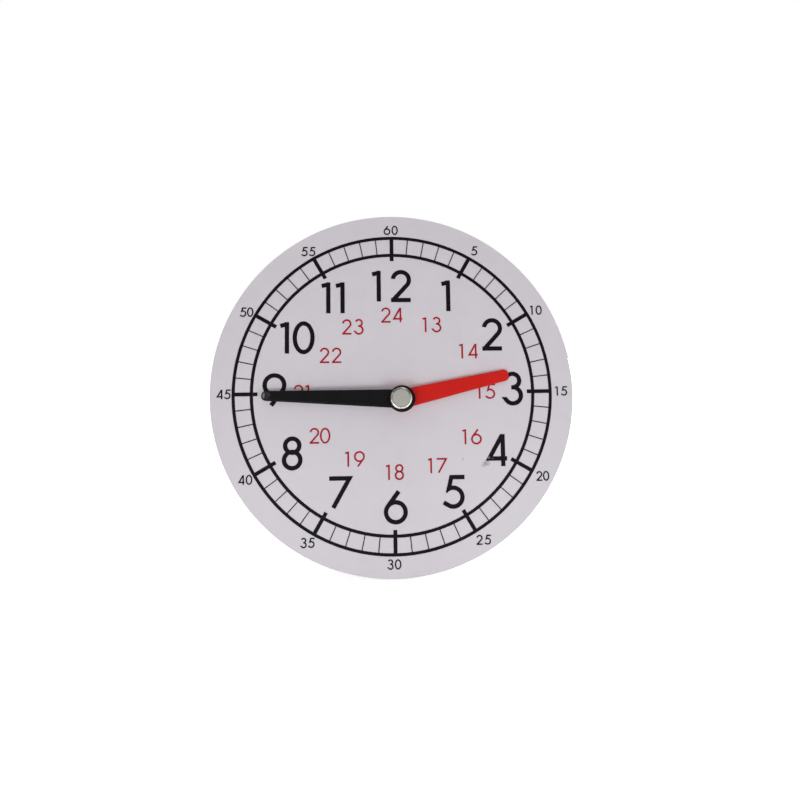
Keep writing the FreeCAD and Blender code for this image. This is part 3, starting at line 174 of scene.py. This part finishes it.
def make_rivet():
    levels = rivet_levels()
    shift = dial_right * CAP_SHIFT[0] + dial_up * CAP_SHIFT[1]
    shape = bmesh.new()
    rings = []
    for radius, level, share in make_cap_profile(levels):
        centre = spindle + dial_out * level + shift * share
        if radius == 0:
            rings.append([shape.verts.new(centre)])
            continue
        ring = []
        for step in range(TURNED_STEPS):
            turn = 2 * math.pi * step / TURNED_STEPS
            toward = dial_right * math.cos(turn) + dial_up * math.sin(turn)
            ring.append(shape.verts.new(centre + toward * radius))
        rings.append(ring)
    for before, after in zip(rings, rings[1:]):
        for step in range(TURNED_STEPS):
            following = (step + 1) % TURNED_STEPS
            corners = [before[step % len(before)], after[step % len(after)]]
            if len(after) > 1:
                corners.append(after[following])
            if len(before) > 1:
                corners.append(before[following])
            face = shape.faces.new(corners)
            face.smooth = True
    bmesh.ops.recalc_face_normals(shape, faces=shape.faces)
    data = bpy.data.meshes.new("rivet_cap")
    shape.to_mesh(data)
    shape.free()
    data.set_sharp_from_angle(angle=math.radians(CAP_SHARP_ANGLE))
    rivet = bpy.data.objects.new("rivet_cap", data)
    scene.collection.objects.link(rivet)
    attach(rivet, "clock_case")
    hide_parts("centre_rivet")
    return rivet, spindle + dial_out * levels["top"] + shift


# Materials

CLOUD_SPREAD = (0.3, 0.7)
GLOSS_SPREAD = (0.9, 1.1)


def tint(red, green, blue):
    """A colour given as it is read on a screen, from 0 to 255, as linear light."""
    levels = []
    for level in (red, green, blue):
        share = level / 255
        levels.append(share / 12.92 if share <= 0.04045 else ((share + 0.055) / 1.055) ** 2.4)
    return (*levels, 1.0)


class Finish:
    """A material with one Principled shader, and short ways to add nodes to it."""

    def __init__(self, name, roughness=0.4, metallic=0.0, specular=0.5):
        self.material = bpy.data.materials.new(name)
        self.material.use_nodes = True
        self.tree = self.material.node_tree
        self.shader = self.tree.nodes["Principled BSDF"]
        self.shader.inputs["Roughness"].default_value = roughness
        self.shader.inputs["Metallic"].default_value = metallic
        self.shader.inputs["Specular IOR Level"].default_value = specular
        self.place = self.add("ShaderNodeTexCoord").outputs["Object"]

    def add(self, kind, **settings):
        node = self.tree.nodes.new(kind)
        for name, value in settings.items():
            setattr(node, name, value)
        return node

    def join(self, source, target):
        self.tree.links.new(source, target)

    def noise(self, size, detail=3.0):
        """Values about a half that vary over patches of the given size."""
        node = self.add("ShaderNodeTexNoise")
        node.inputs["Scale"].default_value = 1 / size
        node.inputs["Detail"].default_value = detail
        self.join(self.place, node.inputs["Vector"])
        return node.outputs["Fac"]

    def spread(self, value, low, high, to_low=0.0, to_high=1.0):
        """The value carried from one span to another and held at its ends."""
        node = self.add("ShaderNodeMapRange")
        self.join(value, node.inputs["Value"])
        names = ("From Min", "From Max", "To Min", "To Max")
        for name, number in zip(names, (low, high, to_low, to_high)):
            node.inputs[name].default_value = number
        return node.outputs["Result"]

    def reckon(self, kind, first, second):
        node = self.add("ShaderNodeMath", operation=kind)
        for value, socket in zip((first, second), node.inputs):
            if isinstance(value, (int, float)):
                socket.default_value = value
            else:
                self.join(value, socket)
        return node.outputs["Value"]

    def distance_to(self, point, stretch=(1, 1, 1)):
        """Distance from a place on the part at rest, longer along the axes that are stretched."""
        node = self.add("ShaderNodeVectorMath", operation="MULTIPLY_ADD")
        self.join(self.place, node.inputs[0])
        node.inputs[1].default_value = stretch
        node.inputs[2].default_value = [-level * share for level, share in zip(point, stretch)]
        length = self.add("ShaderNodeVectorMath", operation="LENGTH")
        self.join(node.outputs["Vector"], length.inputs[0])
        return length.outputs["Value"]

    def blend(self, share, first, second):
        """The first colour where the share is zero, the second where it is one."""
        node = self.add("ShaderNodeMix", data_type="RGBA")
        sockets = [socket for socket in node.inputs if socket.type == "RGBA"]
        for value, socket in ((share, node.inputs["Factor"]), (first, sockets[0]), (second, sockets[1])):
            if isinstance(value, (tuple, int, float)):
                socket.default_value = value
            else:
                self.join(value, socket)
        return next(socket for socket in node.outputs if socket.type == "RGBA")

    def colour(self, value):
        self.join(value, self.shader.inputs["Base Color"])

    def roughness(self, value):
        self.join(value, self.shader.inputs["Roughness"])

    def bump(self, height, depth):
        node = self.add("ShaderNodeBump")
        node.inputs["Distance"].default_value = depth
        node.inputs["Strength"].default_value = 1.0
        self.join(height, node.inputs["Height"])
        self.join(node.outputs["Normal"], self.shader.inputs["Normal"])


# Spots of wear, and the painted highlight on the minute hand's tip, share this shape
SPOT_CORE_SHARE = 0.45
SPOT_GRAIN = 0.35 * MM
SPOT_GRAIN_SPREAD = (0.38, 0.62)
SPOT_LEAST_SHARE = 0.25


def wear_and_highlight_spot(finish, point, radius, amount, stretch):
    """The amount at a spot's middle, zero past its radius, broken up by fine grain. Used for wear and for the
    painted highlight on the minute hand's tip.
    """
    reach = finish.distance_to(point, stretch)
    near = finish.spread(reach, radius * SPOT_CORE_SHARE, radius, 1.0, 0.0)
    broken = finish.spread(finish.noise(SPOT_GRAIN), *SPOT_GRAIN_SPREAD, SPOT_LEAST_SHARE, 1.0)
    return finish.reckon("MULTIPLY", finish.reckon("MULTIPLY", near, broken), amount)


PLASTIC_PATCH = 6 * MM
PLASTIC_GRAIN = 0.12 * MM
PLASTIC_GRAIN_DEPTH = 0.004 * MM


def plastic(name, pale, dark, roughness, specular, wear_and_highlights=(), spot_tint=None):
    """Moulded plastic: cloudy colour, a fine grain in the surface and uneven gloss. Spots of wear
    and of painted highlight are given by place, radius, amount and stretch, and take the spot tint."""
    finish = Finish(name, specular=specular)
    cloud = finish.noise(PLASTIC_PATCH)
    colour = finish.blend(finish.spread(cloud, *CLOUD_SPREAD), dark, pale)
    for point, radius, amount, stretch in wear_and_highlights:
        colour = finish.blend(wear_and_highlight_spot(finish, point, radius, amount, stretch), colour, spot_tint)
    finish.colour(colour)
    fine = finish.noise(PLASTIC_GRAIN, detail=2.0)
    glossy, dull = (roughness * share for share in GLOSS_SPREAD)
    finish.roughness(finish.spread(cloud, *CLOUD_SPREAD, glossy, dull))
    finish.bump(fine, PLASTIC_GRAIN_DEPTH)
    return finish


# Wear and a painted highlight, placed from the middle of the dial or from the hand's tip as in the photograph

TIP_REACH = 2 * MM


def from_spindle(corner):
    """The way from the spindle's line straight out to a corner."""
    offset = corner - spindle
    return offset - dial_out * offset.dot(dial_out)


def hand_place(node, inward):
    """A place on a hand's top face, measured inward from its tip."""
    corners = [corner.co for corner in frame["nodes"][node].data.vertices]
    tip = max(corners, key=lambda corner: from_spindle(corner).length)
    level = max(corner.dot(dial_out) for corner in corners if (corner - tip).length < TIP_REACH)
    tip = tip + dial_out * (level - tip.dot(dial_out))
    return tip - from_spindle(tip).normalized() * inward


# Each spot (wear, and on the hand's tip a painted highlight): place, radius, amount and how much it is drawn in
# along each axis
SCUFFS = (
    (on_dial(27.8 * MM, -21.6 * MM), 1.35 * MM, 1.0, (1.0, 1.0, 1.4)),
    (on_dial(26.9 * MM, -22.2 * MM), 0.75 * MM, 0.8, (1, 1, 1)),
    (on_dial(20.6 * MM, -20.2 * MM), 0.7 * MM, 0.45, (1.4, 1, 1)),
    (on_dial(-3.3 * MM, -31.6 * MM), 0.5 * MM, 0.22, (1, 1, 1)),
)
NICKS = (
    (on_dial(28.45 * MM, -19.9 * MM), 0.6 * MM, 0.42, (1, 1, 1)),
    (on_dial(29.6 * MM, -20.1 * MM), 0.4 * MM, 0.2, (1, 1, 1)),
)
# The minute hand's tip: a painted highlight on its rounded end, partly pale wear further in
TIP_PAINTED_HIGHLIGHT_AND_WEAR = (
    (hand_place("minute_hand", 0.8 * MM), 1.3 * MM, 0.7, (3.0, 1, 1)),
    (hand_place("minute_hand", 1.7 * MM), 1.4 * MM, 0.13, (1, 1, 1)),
)


STEEL_PATCH = 1.5 * MM
STEEL_GRAIN = 0.1 * MM
STEEL_GRAIN_DEPTH = 0.002 * MM
STEEL_ROUGHNESS = (0.3, 0.4)
STEEL_DARKER = 12
CAP_DARKER = 16
CAP_SPECKLE = 0.16 * MM
CAP_SPECKLE_SPREAD = (0.35, 0.65)
CAP_MARK_PITCH = 0.14 * MM
CAP_MARK_DEPTH = 0.001 * MM
RIM_PATCH = 2.2 * MM
RIM_SPREAD = (0.42, 0.58)
# The rim's colours are painted reflections: darker patches and bright painted glints
RIM_PAINTED_DARK_REFLECTION = tint(112, 109, 102)
RIM_PAINTED_GLINT = tint(214, 212, 205)
# Painted shade in the groove around the cap's face
GROOVE_PAINTED_SHADE = tint(92, 88, 80)


def cap_tone(finish, cap, tone, level):
    """The cap's speckled face, painted shade in its groove and a rim painted in patches of glint and dark
    reflection, over a plain tone.
    """
    reach = finish.distance_to(cap)
    speckle = finish.spread(finish.noise(CAP_SPECKLE), *CAP_SPECKLE_SPREAD)
    darker = level - CAP_DARKER
    tone = finish.blend(speckle, tone, tint(darker, darker - 2, darker - 6))
    groove_end = CAP_FACE_RADIUS + CAP_GROOVE_WIDTH
    # The rim takes painted glints and dark reflections in patches
    rim = finish.spread(reach, groove_end - CAP_GROOVE_WIDTH / 2, groove_end)
    patchy = finish.spread(finish.noise(RIM_PATCH), *RIM_SPREAD)
    tone = finish.blend(rim, tone, finish.blend(patchy, RIM_PAINTED_DARK_REFLECTION, RIM_PAINTED_GLINT))
    # Painted shade along the groove
    off_groove = finish.reckon("ABSOLUTE", finish.reckon("SUBTRACT", reach, CAP_FACE_RADIUS), 0.0)
    unshaded = finish.spread(off_groove, CAP_GROOVE_WIDTH / 2, CAP_GROOVE_WIDTH)
    marks = finish.reckon("SINE", finish.reckon("MULTIPLY", reach, 2 * math.pi / CAP_MARK_PITCH), 0.0)
    finish.bump(finish.reckon("ADD", finish.noise(STEEL_GRAIN), marks), CAP_MARK_DEPTH)
    return finish.blend(unshaded, GROOVE_PAINTED_SHADE, tone)


def steel(name, level, cap=None):
    """Cold-headed steel: fine uneven tone and gloss. A cap has turning marks on its face,
    painted shade in its groove and painted glints and dark reflections on its rim."""
    finish = Finish(name, metallic=1.0)
    cloud = finish.noise(STEEL_PATCH)
    darker = level - STEEL_DARKER
    tone = finish.blend(cloud, tint(level, level - 2, level - 7), tint(darker, darker - 2, darker - 8))
    if cap:
        tone = cap_tone(finish, cap, tone, level)
    else:
        finish.bump(finish.noise(STEEL_GRAIN), STEEL_GRAIN_DEPTH)
    finish.colour(tone)
    finish.roughness(finish.spread(cloud, *CLOUD_SPREAD, *STEEL_ROUGHNESS))
    return finish


# Each plastic or ink: its pale and dark tints, roughness and specular level
PLASTICS = {
    "dial_plastic": (tint(212, 207, 213), tint(209, 204, 211), 0.45, 0.3),
    "black_ink": (tint(19, 14, 20), tint(13, 8, 14), 0.5, 0.06),
    "red_ink": (tint(172, 31, 47), tint(162, 27, 42), 0.5, 0.06),
    "red_plastic": (tint(205, 30, 22), tint(198, 26, 18), 0.3, 0.12),
    "black_plastic": (tint(16, 16, 18), tint(12, 12, 14), 0.28, 0.07),
    "case_plastic": (tint(207, 207, 209), tint(201, 201, 203), 0.4, 0.4),
    "strut_plastic": (tint(207, 207, 209), tint(200, 200, 202), 0.4, 0.4),
    "gear_acetal": (tint(232, 230, 222), tint(226, 223, 214), 0.35, 0.4),
    "gear_acetal_second": (tint(226, 222, 208), tint(219, 214, 199), 0.35, 0.4),
    "nylon": (tint(235, 233, 226), tint(228, 225, 216), 0.4, 0.4),
    "foot_rubber": (tint(52, 52, 54), tint(44, 44, 46), 0.75, 0.3),
}
WEAR_AND_HIGHLIGHTS = {
    "dial_plastic": (SCUFFS, tint(140, 137, 142)),
    "black_ink": (NICKS, tint(170, 168, 170)),
    # On the black hand the pale tint is a painted highlight on the tip, partly wear
    "black_plastic": (TIP_PAINTED_HIGHLIGHT_AND_WEAR, tint(150, 148, 145)),
}
STEEL_LEVELS = {"pin_steel": 170, "screw_steel": 165, "spring_steel": 130}
CAP_LEVEL = 163


def make_finishes(cap):
    made = {}
    for name, looks in PLASTICS.items():
        made[name] = plastic(name, *looks, *WEAR_AND_HIGHLIGHTS.get(name, ()))
    made["rivet_steel"] = steel("rivet_steel", CAP_LEVEL, cap)
    for name, level in STEEL_LEVELS.items():
        made[name] = steel(name, level)
    return made


def dress_nodes(finishes):
    for part in frame["record"]["subparts"]:
        shown = frame["nodes"][part["node"]]
        for slot in shown.material_slots:
            slot.material = finishes[part["material_slot"]].material


# Light, floor and backdrop

ROOM_STRENGTH = 0.5

# Each lamp: direction from the dial as shares of its right, up and outward directions,
# distance, size and power
LAMPS = {
    "low_left": ((-0.34, -0.32, 0.85), 270 * MM, 80 * MM, 0.155),
    "low_right": ((0.38, -0.32, 0.85), 270 * MM, 80 * MM, 0.155),
    "overhead": ((0.0, 1.0, 0.08), 420 * MM, 260 * MM, 0.5),
    "behind": ((0.5, 0.25, -0.83), 600 * MM, 320 * MM, 2.3),
}
FLOOR_REACH = 8.0
FLOOR_TONE = 0.8
FLOOR_GLOW = 0.64


def seen_directly(tree):
    """One for rays that should meet the plain white background."""
    path = tree.nodes.new("ShaderNodeLightPath")
    total = path.outputs["Is Camera Ray"]
    for name in ("Is Glossy Ray", "Is Transmission Ray"):
        node = tree.nodes.new("ShaderNodeMath")
        node.operation = "MAXIMUM"
        tree.links.new(total, node.inputs[0])
        tree.links.new(path.outputs[name], node.inputs[1])
        total = node.outputs["Value"]
    return total


def make_world():
    world = bpy.data.worlds.new("studio")
    scene.world = world
    world.use_nodes = True
    tree = world.node_tree
    tree.nodes.clear()
    room = tree.nodes.new("ShaderNodeBackground")
    room.inputs["Color"].default_value = (1.0, 1.0, 1.0, 1.0)
    room.inputs["Strength"].default_value = ROOM_STRENGTH
    white = tree.nodes.new("ShaderNodeBackground")
    white.inputs["Color"].default_value = (1.0, 1.0, 1.0, 1.0)
    white.inputs["Strength"].default_value = 1.0
    mix = tree.nodes.new("ShaderNodeMixShader")
    output = tree.nodes.new("ShaderNodeOutputWorld")
    tree.links.new(seen_directly(tree), mix.inputs["Fac"])
    tree.links.new(room.outputs["Background"], mix.inputs[1])
    tree.links.new(white.outputs["Background"], mix.inputs[2])
    tree.links.new(mix.outputs["Shader"], output.inputs["Surface"])


def area_light(name, place, target, size, power):
    data = bpy.data.lights.new(name, "AREA")
    data.shape = "DISK"
    data.size = size
    data.energy = power
    light = bpy.data.objects.new(name, data)
    scene.collection.objects.link(light)
    light.location = place
    light.rotation_mode = "QUATERNION"
    light.rotation_quaternion = (target - place).to_track_quat("-Z", "Y")
    light.visible_camera = False


def make_lights():
    for name, (shares, distance, size, power) in LAMPS.items():
        toward = (dial_right * shares[0] + dial_up * shares[1] + dial_out * shares[2]).normalized()
        area_light(name, dial_middle + toward * distance, dial_middle, size, power)


def make_floor():
    data = bpy.data.meshes.new("floor")
    shape = bmesh.new()
    signs = ((-1, -1), (1, -1), (1, 1), (-1, 1))
    shape.faces.new([shape.verts.new((x * FLOOR_REACH, y * FLOOR_REACH, 0)) for x, y in signs])
    shape.to_mesh(data)
    shape.free()
    floor = bpy.data.objects.new("floor", data)
    scene.collection.objects.link(floor)
    material = bpy.data.materials.new("floor")
    material.use_nodes = True
    tree = material.node_tree
    tree.nodes.clear()
    plain = tree.nodes.new("ShaderNodeBsdfDiffuse")
    plain.inputs["Color"].default_value = (FLOOR_TONE, FLOOR_TONE, FLOOR_TONE, 1.0)
    glow = tree.nodes.new("ShaderNodeEmission")
    glow.inputs["Strength"].default_value = FLOOR_GLOW
    lifted = tree.nodes.new("ShaderNodeAddShader")
    mix = tree.nodes.new("ShaderNodeMixShader")
    output = tree.nodes.new("ShaderNodeOutputMaterial")
    tree.links.new(plain.outputs["BSDF"], lifted.inputs[0])
    tree.links.new(glow.outputs["Emission"], lifted.inputs[1])
    tree.links.new(seen_directly(tree), mix.inputs["Fac"])
    tree.links.new(plain.outputs["BSDF"], mix.inputs[1])
    tree.links.new(lifted.outputs["Shader"], mix.inputs[2])
    tree.links.new(mix.outputs["Shader"], output.inputs["Surface"])
    data.materials.append(material)


scene.view_settings.view_transform = "Standard"
make_camera()
rivet, cap_top = make_rivet()
finishes = make_finishes(cap_top)
dress_nodes(finishes)
rivet.data.materials.append(finishes["rivet_steel"].material)
make_world()
make_lights()
make_floor()
